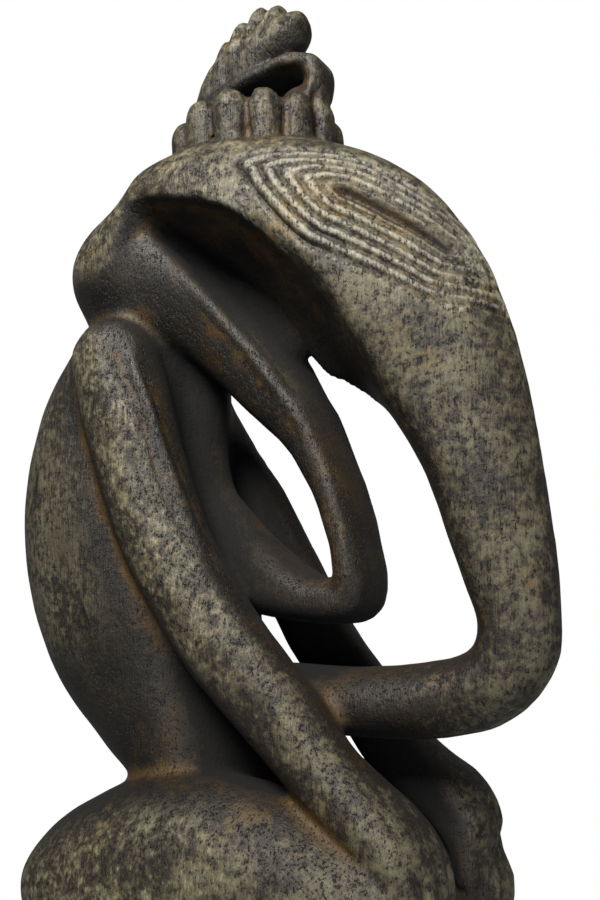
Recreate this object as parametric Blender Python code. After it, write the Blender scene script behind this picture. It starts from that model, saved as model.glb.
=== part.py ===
"""Crouching ancestor figure carved in one with its low base. Metres, +Z up, the figure faces -Y.

The figure's pose and forms are shares of FIGURE_HEIGHT, measured from the top of the base and from the
figure's own upright axis. The base, its edge and the carving depths follow their own named sizes.
"""

import math

import bmesh
import bpy
import numpy as np
from mathutils import Vector
from mathutils.bvhtree import BVHTree

FIGURE_HEIGHT = 1.0
FIGURE_ALONG_BASE = -0.030
BASE_HEIGHT = 0.055
BASE_LENGTH = 0.470
BASE_WIDTH = 0.286
BASE_CORNER_POWER = 3.2
BASE_SINK = 0.020
VOXEL = 0.0030
SOFTEN_TURNS = 4
BLEND_TURNS = 80
TRIANGLES = 9700
KNOB_COUNT = 14
EYE_GROOVE_DEPTH = 0.0036
EYE_GROOVE_HALF = 0.0034


def at(x, y, z):
    """Share coordinates of the figure to metres over the base."""
    return Vector((x * FIGURE_HEIGHT, y * FIGURE_HEIGHT + FIGURE_ALONG_BASE, z * FIGURE_HEIGHT + BASE_HEIGHT))


def smooth_rows(rows, steps):
    """Centripetal spline through the rows of a station table, with `steps` samples between rows."""
    rows = np.array(rows, dtype=float)
    knots = [0.0]
    for before, after in zip(rows[:-1], rows[1:]):
        knots.append(knots[-1] + max(float(np.linalg.norm((after - before)[:3])), 1e-6) ** 0.5)
    knots = np.array(knots)
    slopes = np.zeros_like(rows)
    secants = (rows[1:] - rows[:-1]) / (knots[1:] - knots[:-1])[:, None]
    slopes[0] = secants[0]
    slopes[-1] = secants[-1]
    for i in range(1, len(rows) - 1):
        left = knots[i] - knots[i - 1]
        right = knots[i + 1] - knots[i]
        slopes[i] = (secants[i - 1] * right + secants[i] * left) / (left + right)
    found = []
    for i in range(len(rows) - 1):
        span = knots[i + 1] - knots[i]
        for j in range(steps):
            t = j / steps
            h00 = 2 * t**3 - 3 * t**2 + 1
            h10 = t**3 - 2 * t**2 + t
            h01 = -2 * t**3 + 3 * t**2
            h11 = t**3 - t**2
            found.append(h00 * rows[i] + h10 * span * slopes[i] + h01 * rows[i + 1] + h11 * span * slopes[i + 1])
    found.append(rows[-1])
    return np.array(found)


def skin(name, sections):
    """Closed solid over a row of closed sections, each with the same number of points."""
    mesh = bpy.data.meshes.new(name)
    body = bmesh.new()
    loops = [[body.verts.new(point) for point in section] for section in sections]
    count = len(loops[0])
    for before, after in zip(loops[:-1], loops[1:]):
        for i in range(count):
            j = (i + 1) % count
            body.faces.new((before[i], before[j], after[j], after[i]))
    for loop in (loops[0], loops[-1]):
        middle = sum((v.co for v in loop), Vector()) / count
        centre = body.verts.new(middle)
        for i in range(count):
            body.faces.new((loop[i], loop[(i + 1) % count], centre))
    bmesh.ops.recalc_face_normals(body, faces=body.faces)
    body.to_mesh(mesh)
    body.free()
    obj = bpy.data.objects.new(name, mesh)
    bpy.context.scene.collection.objects.link(obj)
    return obj


def power(value, exponent):
    return math.copysign(abs(value) ** exponent, value)


def loft(name, stations, steps=6, points=28, round_start=True, round_end=True):
    """Swept body. A station is (x, y, z, half depth, half width, corner power), all but the last in shares."""
    rows = smooth_rows(stations, steps)
    count = len(rows)
    centres = rows[:, :3]
    tangents = np.gradient(centres, axis=0)
    lengths = np.concatenate([[0.0], np.cumsum(np.linalg.norm(np.diff(centres, axis=0), axis=1))])
    sections = []
    for i in range(count):
        tangent = Vector(tangents[i]).normalized()
        across = Vector((1.0, 0.0, 0.0))
        across = (across - tangent * across.dot(tangent)).normalized()
        normal = across.cross(tangent).normalized()
        depth, width, corner = rows[i, 3:6]
        shrink = 1.0
        if round_start and lengths[i] < depth:
            shrink = min(shrink, math.sqrt(max(1 - (1 - lengths[i] / depth) ** 2, 0.01)))
        from_end = lengths[-1] - lengths[i]
        if round_end and from_end < depth:
            shrink = min(shrink, math.sqrt(max(1 - (1 - from_end / depth) ** 2, 0.01)))
        section = []
        for k in range(points):
            angle = 2 * math.pi * k / points
            u = power(math.cos(angle), 2 / corner) * width * shrink
            v = power(math.sin(angle), 2 / corner) * depth * shrink
            point = Vector(centres[i]) + across * u + normal * v
            section.append(at(*point))
        sections.append(section)
    return skin(name, sections)


def mirrored(stations):
    return [(-row[0], *row[1:]) for row in stations]


def pair(name, stations, **options):
    """The same swept body on both sides of the figure."""
    return [loft(name + "_right", stations, **options), loft(name + "_left", mirrored(stations), **options)]


# Head and trunk. Each station is one cross-section, given by its outer middle point, its keel middle
# point and its rim (all along the figure and up), the rim's half width, and how hollow the flank is.
HOOD = (
    (0.231, 0.775, 0.226, 0.722, 0.229, 0.747, 0.020, 0.0),
    (0.211, 0.811, 0.198, 0.700, 0.206, 0.750, 0.074, 0.0),
    (0.166, 0.832, 0.150, 0.690, 0.162, 0.750, 0.094, 0.0),
    (0.138, 0.842, 0.126, 0.735, 0.139, 0.768, 0.0955, 0.0),
    (0.112, 0.850, 0.106, 0.762, 0.117, 0.797, 0.096, 0.3),
    (0.056, 0.860, 0.052, 0.735, 0.070, 0.794, 0.097, 0.6),
    (0.000, 0.853, 0.006, 0.692, 0.015, 0.773, 0.094, 0.8),
    (-0.058, 0.834, -0.023, 0.651, -0.027, 0.746, 0.088, 0.8),
    (-0.107, 0.804, -0.052, 0.634, -0.058, 0.713, 0.080, 0.7),
    (-0.145, 0.763, -0.072, 0.620, -0.080, 0.680, 0.071, 0.6),
    (-0.173, 0.718, -0.090, 0.604, -0.099, 0.647, 0.062, 0.4),
    (-0.192, 0.669, -0.103, 0.587, -0.119, 0.614, 0.053, 0.3),
    (-0.206, 0.615, -0.115, 0.568, -0.138, 0.581, 0.046, 0.2),
    (-0.216, 0.560, -0.129, 0.541, -0.156, 0.546, 0.041, 0.1),
    (-0.225, 0.502, -0.144, 0.500, -0.172, 0.500, 0.038, 0.0),
    (-0.2305, 0.447, -0.159, 0.461, -0.187, 0.454, 0.037, 0.0),
    (-0.2290, 0.406, -0.169, 0.432, -0.192, 0.422, 0.036, 0.0),
    (-0.2135, 0.375, -0.165, 0.4145, -0.186, 0.398, 0.036, 0.0),
    (-0.185, 0.352, -0.148, 0.405, -0.164, 0.383, 0.036, 0.0),
    (-0.152, 0.341, -0.130, 0.401, -0.141, 0.373, 0.037, 0.0),
    (-0.112, 0.335, -0.105, 0.397, -0.109, 0.367, 0.038, 0.0),
    (-0.060, 0.333, -0.060, 0.393, -0.060, 0.363, 0.040, 0.0),
    (0.000, 0.333, 0.000, 0.394, 0.000, 0.363, 0.042, 0.0),
    (0.080, 0.333, 0.080, 0.394, 0.080, 0.363, 0.044, 0.0),
)


def head_and_trunk():
    """The domed head that draws out into the trunk, which bends back to the belly."""
    sections = []
    for row in smooth_rows(HOOD, 5):
        outer = row[0:2]
        keel = row[2:4]
        rim = row[4:6]
        half, hollow = row[6], row[7]
        side = []
        for k in range(1, 12):
            angle = math.pi / 2 * (1 - k / 12)
            spread = half * math.cos(angle) * (1 + 0.05 * math.sin(2 * angle))
            middle = rim + (outer - rim) * math.sin(angle)
            side.append((spread, middle[0], middle[1]))
        side.append((half, rim[0], rim[1]))
        for k in range(1, 10):
            t = k / 10
            angle = math.pi / 2 * t
            full = (half * math.cos(angle), math.sin(angle))
            carved = (half * (1 - t), t**1.45)
            spread = full[0] * (1 - hollow) + carved[0] * hollow
            drop = full[1] * (1 - hollow) + carved[1] * hollow
            middle = rim + (keel - rim) * drop
            side.append((spread, middle[0], middle[1]))
        section = [at(0.0, outer[0], outer[1])]
        section += [at(x, y, z) for x, y, z in side]
        section.append(at(0.0, keel[0], keel[1]))
        section += [at(-x, y, z) for x, y, z in reversed(side)]
        sections.append(section)
    return skin("head", sections)


SKULL = (
    (0.0, 0.160, 0.835, 0.040, 0.060, 2.0),
    (0.0, 0.161, 0.800, 0.064, 0.084, 2.1),
    (0.0, 0.163, 0.760, 0.078, 0.091, 2.2),
    (0.0, 0.164, 0.724, 0.074, 0.088, 2.2),
    (0.0, 0.162, 0.684, 0.068, 0.084, 2.0),
)
TORSO = (
    (0.0, 0.160, 0.745, 0.040, 0.060, 2.0),
    (0.0, 0.160, 0.705, 0.058, 0.080, 2.0),
    (0.0, 0.174, 0.660, 0.072, 0.094, 2.1),
    (0.0, 0.189, 0.612, 0.086, 0.102, 2.2),
    (0.0, 0.196, 0.555, 0.100, 0.106, 2.2),
    (0.0, 0.190, 0.490, 0.109, 0.106, 2.2),
    (0.0, 0.167, 0.420, 0.107, 0.100, 2.2),
    (0.0, 0.130, 0.355, 0.085, 0.090, 2.2),
    (0.0, 0.093, 0.300, 0.066, 0.086, 2.2),
    (0.0, 0.097, 0.260, 0.072, 0.100, 2.2),
    (0.0, 0.095, 0.200, 0.080, 0.100, 2.2),
)
CHEST = (
    (0.0, 0.130, 0.715, 0.045, 0.056, 2.0),
    (0.0, 0.135, 0.665, 0.050, 0.036, 2.0),
    (0.0, 0.137, 0.600, 0.050, 0.030, 2.0),
    (0.0, 0.135, 0.540, 0.052, 0.030, 2.0),
    (0.0, 0.126, 0.490, 0.060, 0.034, 2.0),
    (0.0, 0.112, 0.440, 0.070, 0.046, 2.0),
)
# The jaw's front edge (along, up), its back edge (along, up), and its half widths at both.
JAW = (
    (0.170, 0.794, 0.205, 0.695, 0.066, 0.060),
    (0.120, 0.798, 0.164, 0.688, 0.090, 0.078),
    (0.097, 0.774, 0.137, 0.682, 0.086, 0.066),
    (0.070, 0.743, 0.108, 0.674, 0.073, 0.052),
    (0.039, 0.710, 0.081, 0.652, 0.060, 0.043),
    (0.006, 0.673, 0.053, 0.626, 0.050, 0.037),
    (-0.0145, 0.641, 0.028, 0.604, 0.045, 0.034),
    (-0.029, 0.613, 0.004, 0.583, 0.042, 0.032),
    (-0.045, 0.5755, -0.014, 0.558, 0.040, 0.032),
    (-0.0555, 0.550, -0.027, 0.536, 0.039, 0.032),
    (-0.0645, 0.5215, -0.037, 0.511, 0.038, 0.033),
    (-0.0715, 0.4935, -0.044, 0.489, 0.037, 0.034),
    (-0.0775, 0.464, -0.047, 0.464, 0.036, 0.034),
    (-0.0745, 0.441, -0.048, 0.446, 0.031, 0.030),
)
JAW_RETURN = (
    (0.0, -0.076, 0.451, 0.018, 0.034, 2.6),
    (0.0, -0.045, 0.449, 0.0205, 0.035, 2.6),
    (0.0, -0.020, 0.450, 0.0210, 0.035, 2.6),
    (0.0, 0.006, 0.457, 0.026, 0.036, 2.6),
    (0.0, 0.038, 0.470, 0.034, 0.036, 2.6),
    (0.0, 0.070, 0.488, 0.041, 0.034, 2.5),
    (0.0, 0.094, 0.511, 0.042, 0.032, 2.4),
    (0.0, 0.113, 0.542, 0.038, 0.030, 2.3),
    (0.0, 0.121, 0.580, 0.036, 0.029, 2.2),
    (0.0, 0.122, 0.640, 0.036, 0.029, 2.2),
)
MOUTH_WEB = (
    (0.0, 0.118, 0.752, 0.034, 0.034, 2.0),
    (0.0, 0.066, 0.726, 0.030, 0.022, 2.0),
    (0.0, 0.024, 0.692, 0.026, 0.017, 2.0),
    (0.0, -0.004, 0.662, 0.018, 0.015, 2.0),
)
ARM = (
    (-0.074, 0.160, 0.700, 0.034, 0.036, 2.2),
    (-0.080, 0.148, 0.672, 0.038, 0.038, 2.2),
    (-0.080, 0.134, 0.625, 0.040, 0.038, 2.4),
    (-0.077, 0.117, 0.566, 0.039, 0.037, 2.4),
    (-0.076, 0.086, 0.493, 0.038, 0.036, 2.4),
    (-0.071, 0.034, 0.417, 0.037, 0.035, 2.4),
    (-0.065, -0.028, 0.350, 0.033, 0.033, 2.3),
    (-0.062, -0.064, 0.311, 0.029, 0.033, 2.3),
    (-0.062, -0.092, 0.290, 0.027, 0.037, 2.4),
    (-0.062, -0.118, 0.271, 0.025, 0.041, 2.5),
    (-0.062, -0.134, 0.253, 0.022, 0.042, 2.5),
    (-0.062, -0.141, 0.230, 0.015, 0.040, 2.4),
)
LEFT_ARM = (
    (0.072, 0.190, 0.700, 0.034, 0.036, 2.2),
    (0.078, 0.184, 0.668, 0.036, 0.036, 2.2),
    (0.080, 0.165, 0.627, 0.036, 0.034, 2.4),
    (0.078, 0.115, 0.562, 0.034, 0.032, 2.4),
    (0.077, 0.067, 0.488, 0.033, 0.031, 2.4),
    (0.073, 0.018, 0.411, 0.032, 0.030, 2.4),
    (0.067, -0.030, 0.358, 0.031, 0.030, 2.3),
    (0.063, -0.068, 0.314, 0.030, 0.032, 2.3),
    (0.062, -0.098, 0.292, 0.028, 0.036, 2.4),
    (0.062, -0.124, 0.275, 0.027, 0.040, 2.5),
    (0.062, -0.139, 0.254, 0.022, 0.041, 2.5),
    (0.062, -0.141, 0.232, 0.015, 0.039, 2.4),
)
THIGH = (
    (-0.062, 0.239, 0.178, 0.020, 0.050, 2.0),
    (-0.066, 0.210, 0.185, 0.053, 0.072, 2.0),
    (-0.070, 0.152, 0.196, 0.078, 0.082, 2.0),
    (-0.072, 0.090, 0.207, 0.091, 0.082, 2.1),
    (-0.074, 0.010, 0.216, 0.087, 0.072, 2.2),
    (-0.076, -0.060, 0.206, 0.072, 0.060, 2.2),
    (-0.078, -0.120, 0.186, 0.064, 0.052, 2.2),
    (-0.078, -0.164, 0.165, 0.052, 0.048, 2.1),
)
PELVIS = (
    (0.0, 0.232, 0.180, 0.020, 0.070, 2.0),
    (0.0, 0.204, 0.186, 0.050, 0.106, 2.1),
    (0.0, 0.150, 0.196, 0.074, 0.132, 2.2),
    (0.0, 0.090, 0.206, 0.084, 0.134, 2.3),
    (0.0, 0.020, 0.214, 0.074, 0.110, 2.2),
)
SHIN = (
    (-0.078, -0.134, 0.180, 0.048, 0.047, 2.1),
    (-0.078, -0.116, 0.130, 0.047, 0.044, 2.2),
    (-0.078, -0.090, 0.072, 0.040, 0.037, 2.2),
    (-0.078, -0.064, 0.020, 0.040, 0.036, 2.2),
)
FOOT = (
    (-0.078, -0.010, 0.014, 0.024, 0.036, 2.3),
    (-0.078, -0.065, 0.022, 0.034, 0.040, 2.3),
    (-0.078, -0.120, 0.014, 0.026, 0.044, 2.3),
    (-0.078, -0.156, 0.008, 0.018, 0.042, 2.3),
)
SEAT = (
    (0.0, 0.112, 0.170, 0.080, 0.085, 2.6),
    (0.0, 0.112, 0.090, 0.068, 0.074, 2.6),
    (0.0, 0.112, 0.020, 0.074, 0.080, 2.6),
    (0.0, 0.112, -0.030, 0.076, 0.082, 2.6),
)


def fingers():
    """Four fingers on each hand, bent down over the knee."""
    found = []
    for side in (-1, 1):
        for k in range(4):
            x = side * (0.062 + 0.0205 * (k - 1.5))
            reach = 0.003 * (1 if k in (1, 2) else 0) - (0.005 if side > 0 else 0)
            path = (
                (x, -0.118, 0.268, 0.0110, 0.0108, 2.0),
                (x, -0.136 - reach, 0.258, 0.0120, 0.0112, 2.0),
                (x, -0.147 - reach, 0.238, 0.0118, 0.0110, 2.0),
                (x, -0.150 - reach, 0.206, 0.0102, 0.0102, 2.0),
            )
            found.append(loft("finger", path, points=14))
    return found


def toes():
    found = []
    for side in (-1, 1):
        for k in range(4):
            x = side * (0.078 + 0.019 * (k - 1.5))
            path = (
                (x, -0.128, 0.012, 0.013, 0.0100, 2.0),
                (x, -0.158, 0.010, 0.012, 0.0098, 2.0),
                (x, -0.178, 0.004, 0.010, 0.0095, 2.0),
            )
            found.append(loft("toe", path, points=14))
    return found


RING_MIDDLE = 0.047
RING_REACH = 0.066
RING_SPREAD = 0.058
KNOB_RISE = 0.040
KNOB_RADIUS = 0.0158
KNOB_BACK_DROP = 0.40


def knobs(head):
    """A ring of egg-shaped knobs that stands on the dome around the crest."""
    ground = BVHTree.FromPolygons([v.co for v in head.data.vertices], [p.vertices for p in head.data.polygons])
    found = []
    for k in range(KNOB_COUNT):
        angle = 2 * math.pi * k / KNOB_COUNT
        x = RING_SPREAD * math.sin(angle)
        y = RING_MIDDLE - RING_REACH * math.cos(angle)
        above = at(x, y, 1.0)
        hit = ground.ray_cast(above, Vector((0, 0, -1)))[0]
        z = (hit.z - BASE_HEIGHT) / FIGURE_HEIGHT
        lean = 0.10 * x
        rise = KNOB_RISE * (1 - KNOB_BACK_DROP * max(0.0, (y - RING_MIDDLE) / RING_REACH))
        path = (
            (x, y, z - 0.018, KNOB_RADIUS * 0.92, KNOB_RADIUS * 0.92, 2.0),
            (x + lean * 0.5, y, z + rise * 0.40, KNOB_RADIUS, KNOB_RADIUS * 1.02, 2.1),
            (x + lean, y, z + rise, KNOB_RADIUS * 0.92, KNOB_RADIUS * 0.95, 2.0),
        )
        found.append(loft("knob", path, points=16))
    return found


CREST_FOOT = (
    (0.0, 0.060, 0.830, 0.054, 0.044, 2.0),
    (0.0, 0.055, 0.860, 0.050, 0.026, 2.0),
    (0.0, 0.046, 0.882, 0.046, 0.013, 2.0),
    (0.0, 0.040, 0.912, 0.044, 0.011, 2.0),
)
CREST_STEM = (
    (0.0, 0.090, 0.850, 0.034, 0.026, 2.0),
    (0.0, 0.091, 0.900, 0.030, 0.021, 2.0),
    (0.0, 0.084, 0.935, 0.023, 0.018, 2.0),
    (0.0, 0.072, 0.958, 0.015, 0.015, 2.0),
)
CREST_FRONT = (
    (0.0, 0.004, 0.850, 0.022, 0.024, 2.2),
    (0.0, 0.000, 0.880, 0.020, 0.018, 2.2),
    (0.0, 0.002, 0.908, 0.018, 0.016, 2.2),
)
VISOR = (
    (0.0, 0.106, 0.856, 0.014, 0.024, 2.0),
    (0.0, 0.100, 0.886, 0.013, 0.024, 2.2),
    (0.0, 0.084, 0.907, 0.011, 0.025, 2.4),
    (0.0, 0.056, 0.918, 0.009, 0.026, 2.6),
    (0.0, 0.026, 0.921, 0.0085, 0.026, 2.6),
    (0.0, -0.003, 0.923, 0.0085, 0.024, 2.6),
    (0.0, -0.020, 0.915, 0.0095, 0.021, 2.4),
    (0.0, -0.019, 0.896, 0.011, 0.018, 2.2),
    (0.0, -0.006, 0.866, 0.014, 0.020, 2.0),
)
COMB_BODY = (
    (0.0, 0.084, 0.922, 0.020, 0.016, 2.0),
    (0.0, 0.052, 0.944, 0.022, 0.018, 2.2),
    (0.0, 0.022, 0.954, 0.019, 0.019, 2.2),
    (0.0, -0.006, 0.951, 0.016, 0.017, 2.2),
)
LOBES = (
    (0.090, 0.953, 0.093, 0.905, 0.0095),
    (0.075, 0.975, 0.080, 0.915, 0.0085),
    (0.057, 0.987, 0.067, 0.928, 0.0085),
    (0.036, 0.993, 0.052, 0.936, 0.0088),
    (0.017, 0.988, 0.036, 0.940, 0.0092),
    (-0.005, 0.974, 0.016, 0.944, 0.0120),
)


def comb():
    """The upper crest: a fan of fluted lobes."""
    found = []
    for y, z, root_y, root_z, radius in LOBES:
        path = (
            (0.0, root_y, root_z, radius, 0.018, 2.0),
            (0.0, root_y * 0.4 + y * 0.6, root_z * 0.4 + z * 0.6, radius, 0.021, 2.0),
            (0.0, y, z, radius * 0.48, 0.010, 2.0),
        )
        found.append(loft("lobe", path, points=18))
    return found


def jaw(corner=3.2, points=36):
    """The lower jaw: a tapering strap, wider at its front edge, with a ridge along each side."""
    sections = []
    for row in smooth_rows(JAW, 5):
        front = row[0:2]
        back = row[2:4]
        section = []
        for k in range(points):
            angle = 2 * math.pi * k / points
            toward_front = power(math.sin(angle), 2 / corner)
            half = row[5] + (row[4] - row[5]) * (toward_front + 1) / 2
            y, z = (front + back) / 2 + (front - back) / 2 * toward_front
            section.append(at(power(math.cos(angle), 2 / corner) * half, y, z))
        sections.append(section)
    return skin("jaw", sections)


def base():
    """Low rounded slab. It starts as a blank that reaches below the ground, where it is cut flat."""
    sections = []
    for z, grow in ((-BASE_SINK, 1.0), (BASE_HEIGHT * 0.55, 1.0), (BASE_HEIGHT * 0.9, 0.985), (BASE_HEIGHT, 0.95)):
        section = []
        for k in range(72):
            angle = 2 * math.pi * k / 72
            x = power(math.cos(angle), 2 / BASE_CORNER_POWER) * BASE_WIDTH / 2 * grow
            y = power(math.sin(angle), 2 / BASE_CORNER_POWER) * BASE_LENGTH / 2 * grow
            section.append(Vector((x, y, z)))
        sections.append(section)
    return skin("base", sections)


def joined(blanks, name):
    """One mesh that holds all the blanks."""
    points, faces, start = [], [], 0
    for blank in blanks:
        points += [v.co.copy() for v in blank.data.vertices]
        faces += [[start + i for i in p.vertices] for p in blank.data.polygons]
        start += len(blank.data.vertices)
    mesh = bpy.data.meshes.new(name)
    mesh.from_pydata(points, [], faces)
    mesh.update()
    for blank in blanks:
        bpy.data.objects.remove(blank, do_unlink=True)
    obj = bpy.data.objects.new(name, mesh)
    bpy.context.scene.collection.objects.link(obj)
    return obj


def settle(obj):
    """Turns the object's modifiers into its mesh."""
    bpy.context.view_layer.update()
    seen = obj.evaluated_get(bpy.context.evaluated_depsgraph_get())
    mesh = bpy.data.meshes.new_from_object(seen)
    obj.modifiers.clear()
    obj.data = mesh


# Where neighbouring forms run into one another: the back of the dome with the cheeks and nape, and the
# legs with the pelvis. Each is a span along the figure and a span up it.
BLENDS = (
    (0.122, 0.260, 0.670, 0.835),
    (-0.190, 0.240, 0.030, 0.205),
)


def blend_forms(obj):
    """Blends neighbouring forms into one rounded form, strongest in the middle of each span."""
    group = obj.vertex_groups.new(name="blend")
    spans = [(at(0.0, near, low), at(0.0, far, high)) for near, far, low, high in BLENDS]
    for v in obj.data.vertices:
        for low, high in spans:
            inward = min(v.co.y - low.y, high.y - v.co.y, v.co.z - low.z, high.z - v.co.z)
            if inward > 0:
                group.add([v.index], min(inward / 0.020, 1.0), "REPLACE")
    blend = obj.modifiers.new("blend", "SMOOTH")
    blend.factor = 0.5
    blend.iterations = BLEND_TURNS
    blend.vertex_group = "blend"
    settle(obj)
    obj.vertex_groups.clear()


SLIT_BACK = (0.0676, -0.0833, 0.7676)
SLIT_FRONT = (0.0343, -0.1563, 0.7184)
EYE_GROOVES = (0.0, 0.0105, 0.0200, 0.0290, 0.0430)
EYE_TAPER_BACK = 0.45
EYE_TAPER_FRONT = 0.62


def carve_eyes(obj):
    """Nested almond grooves around a slit, on both sides of the dome."""
    mesh = obj.data
    count = len(mesh.vertices)
    co = np.empty(count * 3)
    no = np.empty(count * 3)
    mesh.vertices.foreach_get("co", co)
    mesh.vertices.foreach_get("normal", no)
    co = co.reshape(-1, 3)
    no = no.reshape(-1, 3)
    push = np.zeros(count)
    for side in (-1, 1):
        back = np.array(at(side * SLIT_BACK[0], SLIT_BACK[1], SLIT_BACK[2]))
        front = np.array(at(side * SLIT_FRONT[0], SLIT_FRONT[1], SLIT_FRONT[2]))
        half = np.linalg.norm(front - back) / 2
        along = (front - back) / (2 * half)
        outward = np.array((side * 0.75, -0.35, 0.55))
        outward -= along * outward.dot(along)
        outward /= np.linalg.norm(outward)
        across = np.cross(along, outward)
        from_middle = co - (back + front) / 2
        s = from_middle @ along
        t = from_middle @ across
        beyond = np.maximum(s - half, 0) * EYE_TAPER_FRONT + np.maximum(-s - half, 0) * EYE_TAPER_BACK
        ring = np.hypot(t, beyond)
        near = (no @ outward > 0.2) & (from_middle @ outward > -0.07) & (co[:, 0] * side > 0.003)
        for groove in EYE_GROOVES:
            depth = EYE_GROOVE_DEPTH * np.clip(1 - np.abs(ring - groove) / EYE_GROOVE_HALF, 0, 1)
            push = np.where(near, np.maximum(push, depth), push)
    co -= no * push[:, None]
    mesh.vertices.foreach_set("co", co.ravel())
    mesh.update()


ARM_VALLEY = ((0.120, 0.672), (0.108, 0.620), (0.090, 0.550), (0.056, 0.482), (0.020, 0.430))
ARM_VALLEY_DEPTH = 0.004
ARM_VALLEY_HALF = 0.013


def carve_arm_valley(obj):
    """A soft valley down the outer side of each upper arm, behind its rolled front edge."""
    mesh = obj.data
    count = len(mesh.vertices)
    co = np.empty(count * 3)
    no = np.empty(count * 3)
    mesh.vertices.foreach_get("co", co)
    mesh.vertices.foreach_get("normal", no)
    co = co.reshape(-1, 3)
    no = no.reshape(-1, 3)
    path = np.array([at(0.0, y, z)[1:] for y, z in smooth_rows(ARM_VALLEY, 6)[:, :2]])
    far = np.full(count, 1.0)
    for before, after in zip(path[:-1], path[1:]):
        step = after - before
        share = np.clip(((co[:, 1:] - before) @ step) / (step @ step), 0, 1)
        gap = co[:, 1:] - before - share[:, None] * step
        far = np.minimum(far, np.hypot(gap[:, 0], gap[:, 1]))
    outer = (np.abs(co[:, 0]) > 0.085 * FIGURE_HEIGHT) & (no[:, 0] * np.sign(co[:, 0]) > 0.3)
    depth = ARM_VALLEY_DEPTH * np.clip(1 - (far / ARM_VALLEY_HALF) ** 2, 0, 1) ** 2
    co -= no * np.where(outer, depth, 0)[:, None]
    mesh.vertices.foreach_set("co", co.ravel())
    mesh.update()


def cut_flat(obj):
    """Cuts the base's blank off at the ground, which leaves one flat underside."""
    body = bmesh.new()
    body.from_mesh(obj.data)
    everything = body.verts[:] + body.edges[:] + body.faces[:]
    bmesh.ops.bisect_plane(
        body, geom=everything, dist=1e-6, plane_co=(0, 0, 0), plane_no=(0, 0, -1), clear_outer=True
    )
    rim = [e for e in body.edges if e.is_boundary]
    bmesh.ops.contextual_create(body, geom=rim)
    bmesh.ops.triangulate(body, faces=body.faces)
    bmesh.ops.recalc_face_normals(body, faces=body.faces)
    body.to_mesh(obj.data)
    body.free()


def wood():
    material = bpy.data.materials.new("dark_patinated_hardwood")
    material.use_nodes = True
    shader = material.node_tree.nodes["Principled BSDF"]
    shader.inputs["Base Color"].default_value = (0.055, 0.042, 0.030, 1.0)
    shader.inputs["Roughness"].default_value = 0.55
    return material


def build():
    for old in list(bpy.data.objects):
        bpy.data.objects.remove(old, do_unlink=True)
    head = head_and_trunk()
    blanks = [head]
    blanks += knobs(head)
    blanks.append(loft("skull", SKULL))
    blanks.append(loft("torso", TORSO))
    blanks.append(loft("chest", CHEST))
    blanks.append(jaw())
    blanks.append(loft("jaw_return", JAW_RETURN, round_end=False))
    blanks.append(loft("mouth_web", MOUTH_WEB))
    blanks.append(loft("arm_right", ARM))
    blanks.append(loft("arm_left", LEFT_ARM))
    blanks.append(loft("pelvis", PELVIS))
    blanks += pair("thigh", THIGH)
    blanks += pair("shin", SHIN)
    blanks += pair("foot", FOOT)
    blanks += fingers()
    blanks += toes()
    blanks.append(loft("seat", SEAT, round_end=False))
    blanks.append(loft("crest_foot", CREST_FOOT))
    blanks.append(loft("crest_stem", CREST_STEM))
    blanks.append(loft("crest_front", CREST_FRONT))
    blanks.append(loft("visor", VISOR))
    blanks.append(loft("comb_body", COMB_BODY))
    blanks += comb()
    blanks.append(base())
    figure = joined(blanks, "ancestor_figure")
    remesh = figure.modifiers.new("one_block", "REMESH")
    remesh.mode = "VOXEL"
    remesh.voxel_size = VOXEL
    remesh.adaptivity = 0.0
    soften = figure.modifiers.new("soften", "SMOOTH")
    soften.factor = 0.5
    soften.iterations = SOFTEN_TURNS
    settle(figure)
    blend_forms(figure)
    carve_eyes(figure)
    carve_arm_valley(figure)
    faces = sum(len(p.vertices) - 2 for p in figure.data.polygons)
    thin = figure.modifiers.new("facets", "DECIMATE")
    thin.ratio = TRIANGLES / faces
    settle(figure)
    cut_flat(figure)
    figure.data.materials.append(wood())
    return figure


build()
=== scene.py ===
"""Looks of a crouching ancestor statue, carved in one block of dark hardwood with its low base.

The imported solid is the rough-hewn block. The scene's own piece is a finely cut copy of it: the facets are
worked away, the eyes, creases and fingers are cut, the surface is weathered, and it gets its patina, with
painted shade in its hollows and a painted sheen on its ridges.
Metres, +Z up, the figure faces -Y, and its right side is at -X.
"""

import logging
import math
from dataclasses import dataclass
from enum import Enum

import bpy
import numpy as np
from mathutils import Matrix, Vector, kdtree, noise
from mathutils.bvhtree import BVHTree


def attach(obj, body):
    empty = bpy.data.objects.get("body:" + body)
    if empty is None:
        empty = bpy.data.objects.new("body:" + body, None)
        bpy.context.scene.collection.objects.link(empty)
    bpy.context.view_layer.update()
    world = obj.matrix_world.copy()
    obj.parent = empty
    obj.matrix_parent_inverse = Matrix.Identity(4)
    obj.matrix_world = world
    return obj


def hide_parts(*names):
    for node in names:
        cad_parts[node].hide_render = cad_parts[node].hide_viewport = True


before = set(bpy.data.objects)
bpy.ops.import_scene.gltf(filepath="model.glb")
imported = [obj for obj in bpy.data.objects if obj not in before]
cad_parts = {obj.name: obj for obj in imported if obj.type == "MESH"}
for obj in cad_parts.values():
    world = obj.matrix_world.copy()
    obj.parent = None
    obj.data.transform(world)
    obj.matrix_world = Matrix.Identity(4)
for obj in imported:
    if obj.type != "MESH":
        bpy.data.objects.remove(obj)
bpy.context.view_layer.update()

LOG = logging.getLogger("ancestor_statue")
MM = 0.001
# A distance, in metres, for places that are on neither eye.
FAR = 1.0


class Side(Enum):
    """A side of the figure, valued by the sign of its X."""

    RIGHT = -1
    LEFT = 1


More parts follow.
